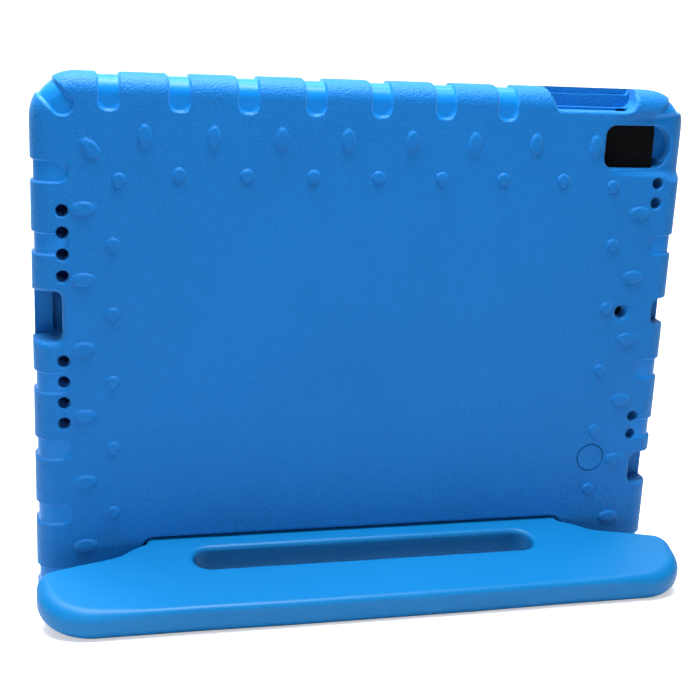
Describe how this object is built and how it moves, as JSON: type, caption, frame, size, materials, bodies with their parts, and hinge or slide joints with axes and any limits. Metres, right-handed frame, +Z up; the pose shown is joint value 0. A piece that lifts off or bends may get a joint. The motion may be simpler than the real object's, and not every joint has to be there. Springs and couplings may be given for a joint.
{
  "type": "tablet case",
  "caption": "Thick foam tablet case with bumps and grooves, cut-outs for keys and ports, and a wide handle that folds out as a stand.",
  "frame": {"origin": "centre of the box round the case on the ground that it stands on, with the handle folded out behind it", "axes": "+X along the case's width, to the right as seen from its back; -Y towards the handle's side, where the case's back faces; +Z up"},
  "size_m": [0.2766, 0.071, 0.219],
  "materials": {
    "shell_foam": "closed-cell foam with a fine leather grain",
    "handle_foam": "closed-cell foam, smooth satin skin",
    "hinge_plastic": "moulded, fine satin",
    "washer_rubber": "matt",
    "blank_card": "matt black"
  },
  "bodies": {
    "case": {"shell": "shell_foam", "insert_card": "blank_card", "gate_plug": "shell_foam", "socket_bush_left": "hinge_plastic", "socket_bush_right": "hinge_plastic"},
    "handle": {"handle": "handle_foam", "pivot_pin_left": "hinge_plastic", "pivot_pin_right": "hinge_plastic", "pin_anchor_left": "hinge_plastic", "pin_anchor_right": "hinge_plastic", "friction_washer_left": "washer_rubber", "friction_washer_right": "washer_rubber"}
  },
  "joints": [
    {"name": "handle_fold", "type": "hinge", "parent": "case", "child": "handle", "pos_m": [0, 0.02263, 0.0238], "axis": [1, 0, 0], "range_deg": [0, 160]}
  ]
}
